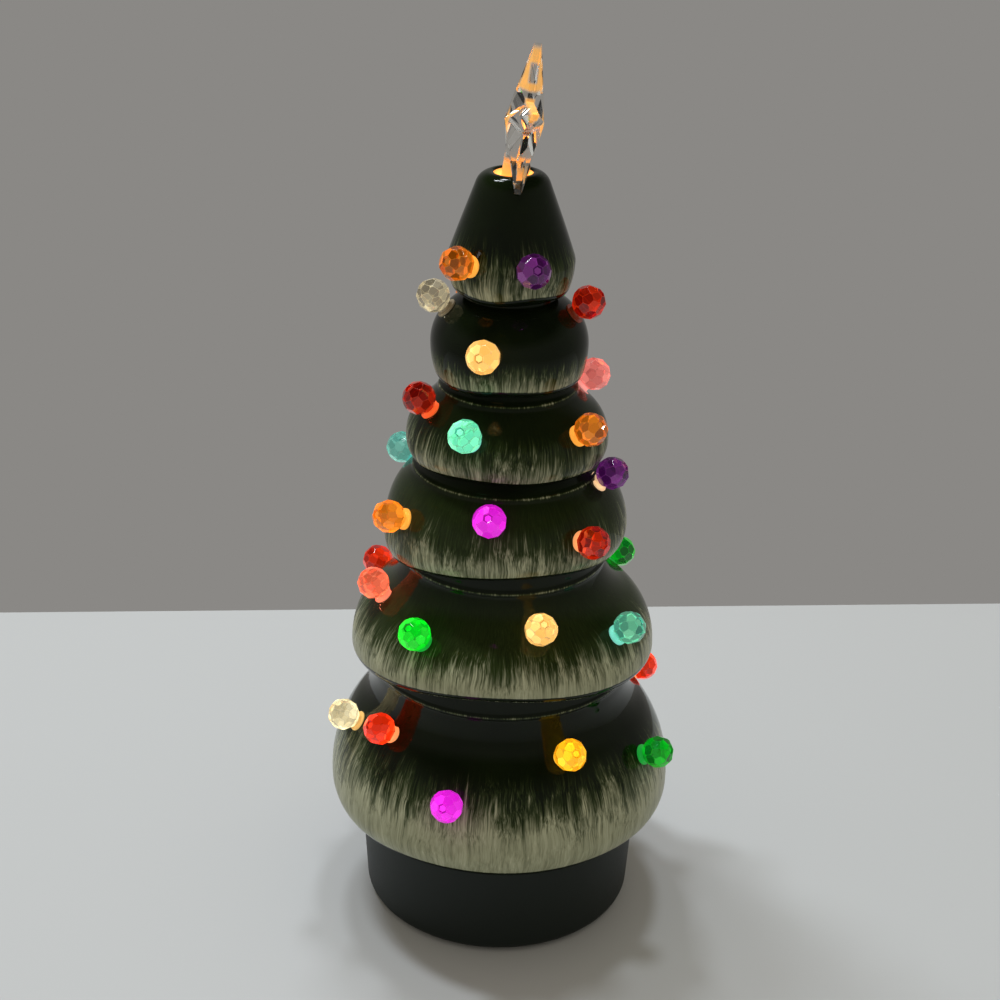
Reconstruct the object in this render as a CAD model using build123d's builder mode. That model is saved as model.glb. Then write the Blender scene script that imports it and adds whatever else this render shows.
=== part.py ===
import os
from math import cos, hypot, radians, sin

from build123d import *

# Ceramic christmas tree: a slip-cast shell of six skirts that stands on a battery base and lifts off it,
# with faceted push-in bulbs in its holes and a clear star standing loose in the socket at its tip.
# Millimetres, +Z up, origin on the floor below the middle of the base, front towards -Y.

# Tree shell, measured from the lip of the lowest skirt up to the crown
tree_height = 218.6
tree_overhang = 10.1
shell_wall = 5.0
lip_round = 1.5
neck_inset = 4.4
neck_rises = (-1.5, 3.5, 2.5, 3.5, 3.5)
skirt_drop = 4.0
lip_gap = 2.0
seat_width = 9.0
seat_thickness = 5.0
crown_radius = 6.9
crown_slope = 69.5
crown_flank_radius = 2.1

# Each skirt from the top down: a point of its flank, its widest point and its lip,
# as shares of the tree's radius and height
skirt_shares = (
    ((0.194, 0.986), (0.344, 0.878), (0.317, 0.831)),
    ((0.403, 0.784), (0.429, 0.753), (0.401, 0.704)),
    ((0.467, 0.663), (0.559, 0.613), (0.526, 0.583)),
    ((0.571, 0.549), (0.682, 0.475), (0.644, 0.442)),
    ((0.718, 0.363), (0.870, 0.291), (0.818, 0.265)),
    ((0.817, 0.176), (1.000, 0.049), (0.934, 0.000)),
)
inner_lift_share = 0.6

# Bulbs: a cut ball on a hollow stem that carries the light, with a thin collar to seat it
ball_radius = 5.3
facet_share = 0.93
ball_rise = 6.7
collar_radius = 3.4
collar_height = 1.0
stem_radius = 2.3
stem_length = 8.0
stem_bore_radius = 1.4
bulb_seat_depth = 0.8
bulb_clearance = 0.2

# Rows of facets on a bulb: latitude in degrees from its front, facets in the row, first facet's turn
facet_rows = ((0, 1, 0), (34, 6, 0), (66, 10, 18), (98, 10, 0), (130, 8, 0))

# Bulbs of each skirt: azimuth in degrees from the front towards +X, share of the way up the flank
bulb_shares = (
    ((-40, 0.05), (15, 0.04), (160, 0.06), (-160, 0.05)),
    ((-80, 0.65), (-15, 0.20), (77, 0.62), (155, 0.22), (-155, 0.27)),
    ((-66, 0.49), (-22, 0.32), (47, 0.31), (106, 0.60), (158, 0.45), (-160, 0.32)),
    ((-123, 0.41), (-57, 0.30), (-7, 0.50), (38, 0.24), (70, 0.70), (152, 0.38), (-165, 0.50)),
    ((-127, 0.13), (-75, 0.48), (-35, 0.37), (16, 0.52), (54, 0.33), (130, 0.23), (175, 0.50)),
    ((-72, 0.48), (-50, 0.59), (-16, 0.33), (26, 0.59), (63, 0.37), (120, 0.38), (164, 0.33), (-155, 0.57),
     (-135, 0.40)),
)

# Star topper: a clear five-pointed star on a round post, leaning in its socket
star_radius = 23.0
star_notch_radius = 8.4
star_depth = 12.0
star_edge = 2.0
star_points = 5
star_turn = 95.0
star_lean = 8.5
star_rise = 19.6
post_radius = 4.1
post_length = 14.5
socket_radius = 6.0
socket_depth = 5.0
socket_floor = 4.5
light_bore_radius = 2.6
star_clearance = 0.1

# Base housing: a moulded bowl standing upside down, open below
base_height = 40.0
base_flare = 2.1
base_wall = 2.4
base_edge_radius = 3.0
base_top_radius = 2.0
foot_width = 5.0
ring_wall = 2.2
ring_height = 3.0
ring_clearance = 0.6
pillar_radius = 3.2
pillar_margin = 7.3
wire_hole_radius = 4.0

# Base plate with its battery well, door recess and switch slot
plate_thickness = 3.0
plate_rim = 2.45
plate_clearance = 0.3
well_wall = 1.3
door_ledge = 1.6
pad_radius = 3.6
pad_height = 1.2
pad_margin = 4.3
pad_angle = 28.0

# Three AA cells side by side
cell_count = 3
cell_radius = 7.25
cell_length = 50.5
cell_gap = 0.4
nub_radius = 2.7
nub_height = 1.2
contact_room = 2.3
contact_width = 8.0
contact_thickness = 0.5
contact_tab = 3.0
contact_slot_gap = 0.2
leaf_width = 5.0
leaf_half_height = 3.2
leaf_flat = 2.2
leaf_thickness = 0.4
leaf_gap = 0.05
boss_radius = 2.0

# Battery door, hinged on two stub pins and held by two tongues
door_thickness = 2.0
door_gap = 0.3
pin_radius = 0.7
pin_length = 1.4
pin_clearance = 0.05
tongue_width = 4.0
tongue_thickness = 1.0
tongue_height = 2.6
grip_count = 3
grip_length = 16.0
grip_width = 1.2
grip_depth = 0.5
grip_pitch = 2.6

# Slide switch behind the battery well
switch_length = 12.0
switch_width = 5.6
switch_height = 6.5
switch_margin = 5.7
switch_corner = 0.6
knob_length = 3.0
knob_width = 2.4
knob_travel = 4.0
knob_clearance = 0.25
knob_recess = 0.3
knob_groove_width = 0.4
knob_groove_pitch = 1.0

# Screws
screw_radius = 1.05
screw_length = 10.0
screw_head_radius = 2.4
screw_head_height = 1.5
screw_clearance = 0.05
head_clearance = 0.2

# Light: a round board with six LEDs under a frosted cover
board_radius = 15.0
board_thickness = 1.6
board_rise = 2.0
board_boss_radius = 2.4
board_boss_reach = 11.5
board_screw_radius = 0.9
board_screw_length = 4.4
board_head_radius = 1.7
board_head_height = 1.1
led_count = 6
led_radius = 2.5
led_body = 3.0
led_reach = 8.0
cover_radius = 24.0
cover_skirt = 6.0
cover_height = 20.0
cover_wall = 1.4

# Wires inside the base
wire_radius = 0.7
wire_bend = 4.0
wire_pair_gap = 2.0
wire_height = 30.0

# One overrun serves all cuts
overrun = 1.0

os.makedirs("parts", exist_ok=True)


def keep(piece, name):
    piece.part.label = name
    export_step(piece.part, f"parts/{name}.step")


# The cells set the size of the well and its door, these the plate's, the plate the base's
# and the base the tree's
well_width = 2 * cell_count * cell_radius + (cell_count + 1) * cell_gap
well_length = cell_length + 2 * contact_room
recess_width = well_width + 2 * door_ledge
recess_length = well_length + 2 * door_ledge
door_width = recess_width - 2 * door_gap
door_length = recess_length - 2 * door_gap
plate_radius = hypot(recess_width, recess_length) / 2 + plate_rim
opening_radius = plate_radius + plate_clearance
foot_radius = opening_radius + foot_width
base_radius = foot_radius + base_flare
tree_radius = base_radius + tree_overhang
pillar_reach = plate_radius - pillar_margin
pad_reach = plate_radius - pad_margin
switch_reach = plate_radius - switch_margin

# Levels and places that several pieces share
tree_z = base_height - skirt_drop
crown_z = tree_z + tree_height
socket_z = crown_z - socket_depth
seat_outer = base_radius + lip_gap
seat_inner = base_radius - base_top_radius - seat_width
plate_top = pad_height + plate_thickness
door_top = pad_height + door_thickness
cell_z = door_top + cell_gap + cell_radius
well_top = cell_z + cell_radius + cell_gap
tab_top = well_top + well_wall + contact_tab
hinge_y = (door_length - door_thickness) / 2
hinge_z = pad_height + door_thickness / 2
switch_top = plate_top + switch_height
board_z = base_height + board_rise
board_top = board_z + board_thickness
lowest = (Align.CENTER, Align.CENTER, Align.MIN)
highest = (Align.CENTER, Align.CENTER, Align.MAX)

cell_places = [(index - (cell_count - 1) / 2) * (2 * cell_radius + cell_gap) for index in range(cell_count)]
cell_ways = [1 if index % 2 == 0 else -1 for index in range(cell_count)]
pillar_places = [(pillar_reach, 0), (-pillar_reach, 0), (0, -switch_reach)]
pad_places = [
    (across * pad_reach * cos(radians(pad_angle)), along * pad_reach * sin(radians(pad_angle)))
    for across in (1, -1)
    for along in (1, -1)
]


# Half section of the shell: x is the radius, y the height
def section_point(shares):
    return Vector(shares[0] * tree_radius, tree_z + shares[1] * tree_height)


def skirt_neck(index):
    if index == 0:
        return Vector(crown_radius, crown_z)
    return section_point(skirt_shares[index - 1][-1]) + Vector(-neck_inset, neck_rises[index - 1])


# Each flank climbs in tangent arcs from the skirt's widest point, through its shoulder, to its neck;
# below the widest point the skirt rolls in to its lip
flanks = []
rolls = []
for index, shares in enumerate(skirt_shares):
    shoulder, widest, lip = [section_point(share) for share in shares]
    neck = skirt_neck(index)
    with BuildLine() as flank:
        if index == 0:
            lower = JernArc(widest, (0, 1), radius=crown_flank_radius, arc_size=90 - crown_slope)
            slant = Line(lower @ 1, shoulder)
            TangentArc(shoulder, neck, tangent=slant % 1)
        else:
            lower = TangentArc(widest, shoulder, tangent=(0, 1))
            turn = shoulder + (shoulder - widest) * (shoulder.X - neck.X) / (widest.X - shoulder.X)
            if turn.Y < neck.Y:
                TangentArc(shoulder, turn, tangent=lower % 1)
                Line(turn, neck)
            else:
                TangentArc(shoulder, neck, tangent=lower % 1)
    flanks.append(flank.wire())
    with BuildLine() as roll:
        TangentArc(widest, lip + Vector(0, lip_round), tangent=(0, -1))
    rolls.append(roll.edge())

# The cavity follows the skirts one wall further in
cavity_points = [Vector(light_bore_radius, socket_z - socket_floor)]
for index, (shoulder, widest, lip) in enumerate(skirt_shares):
    if index > 0:
        cavity_points.append(skirt_neck(index) - Vector(shell_wall, 0))
        cavity_points.append(section_point(shoulder) - Vector(shell_wall, 0))
    cavity_points.append(section_point(widest) + Vector(-shell_wall, inner_lift_share * shell_wall))


# A bulb sits square on the flank, in a shallow flat seat
def bulb_seat(skirt, azimuth, share):
    place = flanks[skirt] @ share
    slope = flanks[skirt] % share
    out = Vector(sin(radians(azimuth)), -cos(radians(azimuth)), 0)
    axis = out * slope.Y - Vector(0, 0, slope.X)
    return Plane(origin=out * place.X + Vector(0, 0, place.Y), z_dir=axis).offset(-bulb_seat_depth)


bulb_seats = [[bulb_seat(skirt, *place) for place in places] for skirt, places in enumerate(bulb_shares)]

with BuildPart() as bulb_holes:
    for seats in bulb_seats:
        for seat in seats:
            with Locations(seat):
                Cylinder(collar_radius + bulb_clearance, 2 * bulb_seat_depth + bulb_clearance, align=lowest)
                Cylinder(stem_radius + bulb_clearance, stem_length + overrun, align=highest)

with BuildPart() as tree_shell:
    with BuildSketch(Plane.XZ):
        with BuildLine():
            Line((light_bore_radius, socket_z), (socket_radius, socket_z))
            Line((socket_radius, socket_z), (socket_radius, crown_z))
            Line((socket_radius, crown_z), skirt_neck(0))
            for index, shares in enumerate(skirt_shares):
                add(flanks[index])
                add(rolls[index])
                lip = section_point(shares[-1])
                inner_lip = lip + Vector(-2 * lip_round, lip_round)
                TangentArc(lip + Vector(0, lip_round), inner_lip, tangent=rolls[index] % 1)
                last = index == len(skirt_shares) - 1
                Line(inner_lip, Vector(seat_outer, base_height) if last else skirt_neck(index + 1))
            Polyline(
                (seat_outer, base_height),
                (seat_inner, base_height),
                (seat_inner, base_height + seat_thickness),
                cavity_points[-1],
            )
            Polyline(*cavity_points)
            Line(cavity_points[0], (light_bore_radius, socket_z))
        make_face()
    revolve(axis=Axis.Z)
    add(bulb_holes.part, mode=Mode.SUBTRACT)
keep(tree_shell, "tree_shell")


# One cut bulb: a ball sliced flat by its rows of facets, on its hollow stem and collar
with BuildPart() as cut_bulb:
    with Locations((0, 0, ball_rise)):
        Sphere(ball_radius)
    for latitude, count, turn in facet_rows:
        for index in range(count):
            way = radians(turn + 360 * index / count)
            tilt = radians(latitude)
            normal = Vector(sin(tilt) * cos(way), sin(tilt) * sin(way), cos(tilt))
            facet = Plane(origin=Vector(0, 0, ball_rise) + normal * ball_radius * facet_share, z_dir=normal)
            split(bisect_by=facet, keep=Keep.BOTTOM)
    Cylinder(collar_radius, collar_height, align=lowest)
    with Locations((0, 0, -stem_length)):
        Cylinder(stem_radius, stem_length + ball_rise, align=lowest)
        Cylinder(stem_bore_radius, stem_length + ball_rise, align=lowest, mode=Mode.SUBTRACT)

for skirt, seats in enumerate(bulb_seats, start=1):
    for number, seat in enumerate(seats, start=1):
        with BuildPart(seat) as bulb:
            add(cut_bulb.part)
        keep(bulb, f"tier{skirt}_bulb_{number}")

# Star: a flat star with a low pyramid on each face, and a post that stands in the socket
lean = radians(star_lean)
turn = radians(star_turn)
post_foot = Plane(
    origin=(0, 0, socket_z + star_clearance + post_radius * sin(lean)),
    x_dir=(cos(lean), 0, -sin(lean)),
    z_dir=(sin(lean), 0, cos(lean)),
)
star_face = Plane(
    origin=post_foot.from_local_coords(Vector(0, 0, star_rise)),
    x_dir=post_foot.x_dir * cos(turn) + post_foot.y_dir * sin(turn),
    z_dir=post_foot.x_dir * sin(turn) - post_foot.y_dir * cos(turn),
)
star_outline = []
for index in range(2 * star_points):
    reach = star_radius if index % 2 == 0 else star_notch_radius
    way = radians(90 + 180 * index / star_points)
    star_outline.append((reach * cos(way), reach * sin(way)))

with BuildPart() as star_topper:
    with BuildSketch(star_face):
        Polygon(*star_outline, align=None)
    extrude(amount=star_edge / 2, both=True)
    for side in (1, -1):
        with BuildSketch(star_face.offset(side * star_edge / 2), mode=Mode.PRIVATE) as rim:
            Polygon(*star_outline, align=None)
        peak = star_face.from_local_coords(Vector(0, 0, side * star_depth / 2))
        loft(sections=[rim.sketch, Vertex(*peak)], ruled=True)
    with BuildSketch(post_foot):
        Circle(post_radius)
    extrude(amount=post_length)
keep(star_topper, "star_topper")

# Base housing
ring_radius = seat_inner - ring_clearance
ring_top = base_height + ring_height
deck_z = base_height - base_wall
with BuildPart() as base_housing:
    with BuildSketch(Plane.XZ) as bowl:
        with BuildLine():
            Polyline(
                (wire_hole_radius, deck_z),
                (base_radius - base_wall, deck_z),
                (foot_radius - base_wall, plate_top),
                (opening_radius, plate_top),
                (opening_radius, pad_height),
                (foot_radius, pad_height),
                (base_radius, base_height),
                (ring_radius, base_height),
                (ring_radius, ring_top),
                (ring_radius - ring_wall, ring_top),
                (ring_radius - ring_wall, base_height),
                (wire_hole_radius, base_height),
                close=True,
            )
        make_face()
        fillet(bowl.vertices().group_by(Axis.Y)[0].sort_by(Axis.X)[-1], base_edge_radius)
        fillet(bowl.vertices().sort_by(Axis.X)[-1], base_top_radius)
    revolve(axis=Axis.Z)
    with BuildSketch(Plane.XY.offset(plate_top)):
        with Locations(*pillar_places):
            Circle(pillar_radius)
    extrude(until=Until.NEXT)
    with BuildSketch(Plane.XY.offset(plate_top)):
        with Locations(*pillar_places):
            Circle(screw_radius + screw_clearance)
    extrude(amount=screw_length, mode=Mode.SUBTRACT)
    with BuildSketch(Plane.XY.offset(base_height)):
        with Locations((board_boss_reach, 0), (-board_boss_reach, 0)):
            Circle(board_boss_radius)
    extrude(amount=board_rise)
    with BuildSketch(Plane.XY.offset(board_z)):
        with Locations((board_boss_reach, 0), (-board_boss_reach, 0)):
            Circle(board_screw_radius + screw_clearance)
    extrude(amount=-board_screw_length, mode=Mode.SUBTRACT)
keep(base_housing, "base_housing")

# Base plate: a disc with the battery well standing on it
slot_length = knob_travel + knob_length + 2 * knob_clearance
with BuildPart() as base_plate:
    with BuildSketch(Plane.XY.offset(pad_height)):
        Circle(plate_radius)
    extrude(amount=plate_thickness)
    with BuildSketch(Plane.XY.offset(plate_top)):
        Rectangle(well_width + 2 * well_wall, well_length + 2 * well_wall)
    extrude(amount=well_top + well_wall - plate_top)
    with BuildSketch(Plane.XY.offset(pad_height)):
        Rectangle(well_width, well_length)
    extrude(amount=well_top - pad_height, mode=Mode.SUBTRACT)
    with BuildSketch(Plane.XY.offset(pad_height)):
        Rectangle(recess_width, recess_length)
    extrude(amount=door_thickness, mode=Mode.SUBTRACT)
    with BuildSketch(Plane.XY.offset(well_top)):
        for end in (1, -1):
            for across in cell_places:
                with Locations((across, end * (well_length - contact_thickness - contact_slot_gap) / 2)):
                    Rectangle(contact_width + 2 * contact_slot_gap, contact_thickness + contact_slot_gap)
    extrude(amount=well_wall, mode=Mode.SUBTRACT)
    with BuildSketch(Plane.XY.offset(pad_height)):
        with Locations((0, switch_reach)):
            Rectangle(slot_length, knob_width + 2 * knob_clearance)
    extrude(amount=plate_thickness, mode=Mode.SUBTRACT)
    with Locations(*[Pos(x, y, pad_height) * Rot(180, 0, 0) for x, y in pillar_places]):
        CounterBoreHole(
            radius=screw_radius + head_clearance,
            counter_bore_radius=screw_head_radius + head_clearance,
            counter_bore_depth=screw_head_height + screw_clearance,
            depth=plate_thickness,
        )
    with BuildSketch(Plane.YZ.offset(-recess_width / 2 - pin_length)):
        with Locations((hinge_y, hinge_z)):
            Circle(pin_radius + pin_clearance)
    extrude(amount=recess_width + 2 * pin_length, mode=Mode.SUBTRACT)
keep(base_plate, "base_plate")

with BuildPart() as base_screws:
    for x, y in pillar_places:
        with BuildSketch(Plane((x, y, pad_height))):
            Circle(screw_head_radius)
        extrude(amount=screw_head_height)
        with BuildSketch(Plane((x, y, pad_height + screw_head_height))):
            Circle(screw_radius)
        extrude(amount=screw_length)
keep(base_screws, "base_screws")

with BuildPart() as foot_pads:
    with BuildSketch():
        with Locations(*pad_places):
            Circle(pad_radius)
    extrude(amount=pad_height)
keep(foot_pads, "foot_pads")

# Battery door: rounded along its hinge edge, with grip grooves outside and tongues inside
with BuildPart() as battery_door:
    with BuildSketch(Plane.YZ.offset(-door_width / 2)):
        with BuildLine():
            Polyline(
                (hinge_y, pad_height),
                (-door_length / 2, pad_height),
                (-door_length / 2, door_top),
                (hinge_y, door_top),
            )
            ThreePointArc((hinge_y, door_top), (hinge_y + door_thickness / 2, hinge_z), (hinge_y, pad_height))
        make_face()
    extrude(amount=door_width)
    with BuildSketch(Plane.YZ.offset(-door_width / 2 - pin_length)):
        with Locations((hinge_y, hinge_z)):
            Circle(pin_radius)
    extrude(amount=door_width + 2 * pin_length)
    with BuildSketch(Plane.XY.offset(door_top)):
        for across in (1, -1):
            place = across * (cell_radius + cell_gap / 2)
            with Locations((place, -well_length / 2 + door_gap + tongue_thickness / 2)):
                Rectangle(tongue_width, tongue_thickness)
    extrude(amount=tongue_height)
    with BuildSketch(Plane.XY.offset(pad_height)):
        with Locations((0, -door_length / 2 + grip_pitch * (grip_count + 1) / 2)):
            with GridLocations(0, grip_pitch, 1, grip_count):
                SlotOverall(grip_length, grip_width)
    extrude(amount=grip_depth, mode=Mode.SUBTRACT)
keep(battery_door, "battery_door")

# Cells and contacts
for index, (across, way) in enumerate(zip(cell_places, cell_ways), start=1):
    with BuildPart(Plane((across, -way * cell_length / 2, cell_z), z_dir=(0, way, 0))) as cell:
        Cylinder(cell_radius, cell_length - nub_height, align=lowest)
        Cylinder(nub_radius, cell_length, align=lowest)
    keep(cell, f"battery_cell_{index}")

contact_y = (well_length - contact_thickness) / 2
contact_low = door_top + cell_gap

with BuildPart() as positive_contacts:
    for across, way in zip(cell_places, cell_ways):
        with BuildSketch(Plane.XY.offset(contact_low)):
            with Locations((across, way * contact_y)):
                Rectangle(contact_width, contact_thickness)
        extrude(amount=tab_top - contact_low)
        with BuildSketch(Plane((across, way * cell_length / 2, cell_z), z_dir=(0, way, 0))):
            Circle(boss_radius)
        extrude(amount=contact_room - contact_thickness)
keep(positive_contacts, "positive_contacts")

# Each negative contact has a leaf bent out to the flat end of its cell
with BuildPart() as negative_contacts:
    for across, way in zip(cell_places, cell_ways):
        end = -way
        with BuildSketch(Plane.XY.offset(contact_low)):
            with Locations((across, end * contact_y)):
                Rectangle(contact_width, contact_thickness)
        extrude(amount=tab_top - contact_low)
        leaf_tip = end * (cell_length / 2 + leaf_gap + leaf_thickness / 2)
        leaf_root = end * contact_y
        with BuildSketch(Plane.YZ.offset(across - leaf_width / 2)):
            with BuildLine():
                Polyline(
                    (leaf_root, cell_z - leaf_half_height),
                    (leaf_tip, cell_z - leaf_flat / 2),
                    (leaf_tip, cell_z + leaf_flat / 2),
                    (leaf_root, cell_z + leaf_half_height),
                )
            trace(line_width=leaf_thickness)
        extrude(amount=leaf_width)
keep(negative_contacts, "negative_contacts")

# Slide switch, shown on
with BuildPart() as switch_body:
    with BuildSketch(Plane.XY.offset(plate_top)):
        with Locations((0, switch_reach)):
            Rectangle(switch_length, switch_width)
    extrude(amount=switch_height)
    fillet(switch_body.edges().filter_by(Axis.Z), switch_corner)
keep(switch_body, "switch_body")

with BuildPart() as switch_knob:
    with BuildSketch(Plane.XY.offset(pad_height + knob_recess)):
        with Locations((knob_travel / 2, switch_reach)):
            Rectangle(knob_length, knob_width)
    extrude(amount=plate_top - pad_height - knob_recess)
    with BuildSketch(Plane.XY.offset(pad_height + knob_recess)):
        with Locations((knob_travel / 2, switch_reach)):
            with GridLocations(knob_groove_pitch, 0, 2, 1):
                Rectangle(knob_groove_width, knob_width)
    extrude(amount=knob_recess, mode=Mode.SUBTRACT)
keep(switch_knob, "switch_knob")

# Light board, its screws and LEDs, and the frosted cover over them
with BuildPart() as led_board:
    with BuildSketch(Plane.XY.offset(board_z)):
        Circle(board_radius)
        with Locations((board_boss_reach, 0), (-board_boss_reach, 0)):
            Circle(board_screw_radius + head_clearance, mode=Mode.SUBTRACT)
    extrude(amount=board_thickness)
keep(led_board, "led_board")

with BuildPart() as board_screws:
    with BuildSketch(Plane.XY.offset(board_top)):
        with Locations((board_boss_reach, 0), (-board_boss_reach, 0)):
            Circle(board_head_radius)
    extrude(amount=board_head_height)
    with BuildSketch(Plane.XY.offset(board_top)):
        with Locations((board_boss_reach, 0), (-board_boss_reach, 0)):
            Circle(board_screw_radius)
    extrude(amount=-board_screw_length)
keep(board_screws, "board_screws")

with BuildPart() as leds:
    with Locations(Plane.XY.offset(board_top)):
        with PolarLocations(led_reach, led_count, start_angle=180 / led_count):
            Cylinder(led_radius, led_body, align=lowest)
    with Locations(Plane.XY.offset(board_top + led_body)):
        with PolarLocations(led_reach, led_count, start_angle=180 / led_count):
            Sphere(led_radius)
keep(leds, "leds")

cover_top = base_height + cover_height
with BuildPart() as light_cover:
    with BuildSketch(Plane.XZ):
        with BuildLine():
            Line((cover_radius, base_height), (cover_radius, base_height + cover_skirt))
            TangentArc((0, cover_top), (cover_radius, base_height + cover_skirt), tangent=(1, 0))
            Line((0, cover_top), (0, cover_top - cover_wall))
            TangentArc(
                (0, cover_top - cover_wall),
                (cover_radius - cover_wall, base_height + cover_skirt),
                tangent=(1, 0),
            )
            Polyline(
                (cover_radius - cover_wall, base_height + cover_skirt),
                (cover_radius - cover_wall, base_height),
                (cover_radius, base_height),
            )
        make_face()
    revolve(axis=Axis.Z)
keep(light_cover, "light_cover")


# Wires run straight with equal bends, from tab to switch to board
def wire(route):
    with BuildPart() as strand:
        with BuildLine() as way:
            FilletPolyline(*route, radius=wire_bend)
        with BuildSketch(Plane(way.line @ 0, z_dir=way.line % 0)):
            Circle(wire_radius)
        sweep()
    return strand.part


pair = wire_pair_gap / 2
with BuildPart() as wires_red:
    add(
        wire(
            [
                (cell_places[0], contact_y, tab_top),
                (cell_places[0], contact_y, wire_height),
                (-pair, switch_reach, wire_height),
                (-pair, switch_reach, switch_top),
            ]
        )
    )
    add(
        wire(
            [
                (pair, switch_reach, switch_top),
                (pair, switch_reach, wire_height),
                (pair, pair, wire_height),
                (pair, pair, board_z),
            ]
        )
    )
keep(wires_red, "wires_red")

with BuildPart() as wire_black:
    add(
        wire(
            [
                (cell_places[-1], -contact_y, tab_top),
                (cell_places[-1], -contact_y, wire_height),
                (-pair, -pair, wire_height),
                (-pair, -pair, board_z),
            ]
        )
    )
keep(wire_black, "wire_black")
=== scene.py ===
import bpy
import bmesh
from math import atan2, cos, hypot, pi, radians, sin
from mathutils import Matrix, Vector, noise


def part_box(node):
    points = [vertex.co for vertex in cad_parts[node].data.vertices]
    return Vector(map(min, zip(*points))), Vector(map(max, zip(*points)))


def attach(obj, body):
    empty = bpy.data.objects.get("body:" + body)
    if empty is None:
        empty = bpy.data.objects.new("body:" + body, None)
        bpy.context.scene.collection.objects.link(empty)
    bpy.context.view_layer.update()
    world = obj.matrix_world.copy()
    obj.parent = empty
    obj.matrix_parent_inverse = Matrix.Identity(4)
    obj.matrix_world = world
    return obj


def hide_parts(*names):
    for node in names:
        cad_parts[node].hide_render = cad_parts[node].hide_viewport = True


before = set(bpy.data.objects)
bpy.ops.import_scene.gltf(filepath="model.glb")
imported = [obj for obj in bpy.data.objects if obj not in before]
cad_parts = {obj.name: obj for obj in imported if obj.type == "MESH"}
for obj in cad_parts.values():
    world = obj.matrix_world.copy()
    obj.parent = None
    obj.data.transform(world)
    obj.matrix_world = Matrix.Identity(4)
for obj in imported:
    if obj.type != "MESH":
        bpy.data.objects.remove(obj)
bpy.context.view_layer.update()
mm = 0.001
print("frame loaded:", len(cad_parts), "CAD nodes")


def linear(hexColour):
    channels = [int(hexColour[i:i + 2], 16) / 255 for i in (1, 3, 5)]
    return [c / 12.92 if c <= 0.04045 else ((c + 0.055) / 1.055) ** 2.4 for c in channels] + [1.0]


def addNode(owner, kind, sockets=None, **settings):
    node = owner.node_tree.nodes.new(kind)
    for name, value in settings.items():
        setattr(node, name, value)
    for name, value in (sockets or {}).items():
        if isinstance(value, bpy.types.NodeSocket):
            owner.node_tree.links.new(value, node.inputs[name])
        else:
            node.inputs[name].default_value = value
    return node


def newMaterial(name):
    material = bpy.data.materials.new(name)
    material.use_nodes = True
    material.node_tree.nodes.clear()
    return material


def newPiece(name, bm, materials, body, nodes):
    mesh = bpy.data.meshes.new(name)
    bm.to_mesh(mesh)
    bm.free()
    for material in materials:
        mesh.materials.append(material)
    piece = bpy.data.objects.new(name, mesh)
    bpy.context.scene.collection.objects.link(piece)
    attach(piece, body)
    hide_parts(*nodes)
    return piece


# The shell in mm: the solid's skirts, top to bottom, with wandering lips and a brushed load of paint
shell = {
    "height": 218.6, "radius": 57.8, "foot": 36.0, "wall": 5.0, "innerLift": 0.6, "lipRound": 1.5,
    "neckInset": 4.4, "neckRises": (-1.5, 3.5, 2.5, 3.5, 3.5),
    "crownRadius": 6.9, "crownSlope": 69.5, "crownFlank": 2.1,
    "socketRadius": 6.0, "socketDepth": 5.0, "socketFloor": 4.5, "socketFillet": 0.4, "lightBore": 2.6,
    "socketMouth": ((0.0, 0.5), (0.15, 0.15)),  # softened edge: out from the wall, down from the top
    "seatOuter": 49.7, "seatInner": 36.7, "seatZ": 40.0, "seatThickness": 5.0,
    "skirts": (  # shoulder, widest point and lip, as shares of the radius and height
        ((0.194, 0.986), (0.344, 0.878), (0.317, 0.831)),
        ((0.403, 0.784), (0.429, 0.753), (0.401, 0.704)),
        ((0.467, 0.663), (0.559, 0.613), (0.526, 0.583)),
        ((0.571, 0.549), (0.682, 0.475), (0.644, 0.442)),
        ((0.718, 0.363), (0.870, 0.291), (0.818, 0.265)),
        ((0.817, 0.176), (1.000, 0.049), (0.934, 0.000)),
    ),
    "flankSteps": 28, "creaseSteps": 4, "rollSteps": 16, "underSteps": 6,
    "returnSteps": 4, "innerSteps": 3, "turns": 160,
    # the lip's rise at front and back, at the sides, and its tilt up to the right
    "droop": ((0.0, 0.0, 0.0), (0.0, 0.0, 0.0), (0.3, -0.5, 0.0),
              (2.3, -2.0, 2.0), (4.0, -3.5, 0.0), (1.2, -1.5, 0.0)),
    "waves": ((0.35, 3, 1), (0.25, 5, 2)),  # height, waves in one turn, shift from skirt to skirt
    # share of the flank that follows the lip, and how far its widest point does
    "droopReach": 0.55, "atWidest": 0.8,
    "wobble": 0.35, "lumps": 30, "inward": 0.6,  # unevenness in mm, lumps in a metre, bias to the inside
    "brushed": (0.4, 0.1, 0.46, 0.54, 0.47, 0.55),  # share of each flank that the pale brush reaches
    "loads": (0.57, 0.71, 0.58, 0.64, 1.08, 1.2),  # how much paint the brush carried on each skirt
    "lowered": (0.5, 0.15, 0.8, 0.8, 0.8, 0.8),  # share of the load that is reached at the widest point
    "fullLoad": 1.04, "brushCurve": 1.25,  # share of the load at the lip, how fast it thins up the flank
    "veils": (0.0, 0.0, 0.15, 0.45, 0.55, 0.05),  # thin green that the brush left higher up
    "veilEnd": 0.85, "veilFade": 0.3,  # shares of the flank
    "rims": (1.0, 0.6, 0.8, 1.5, 4.6, 3.0),  # bare rim left below the wash, mm
    "rimHighlight": (0.5, 0.66),  # shares of the roll where a pale painted highlight line runs along the bare rim
    # ring below the necks of the lower skirts: a low bead, with a pale painted highlight line along its middle
    "creaseFrom": 2, "crease": 7.0, "creaseHalf": 1.6, "creaseRise": 0.45, "paintedHighlight": 0.4,
}


def sectionPoint(share):
    return Vector((share[0] * shell["radius"], shell["foot"] + share[1] * shell["height"]))


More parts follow.
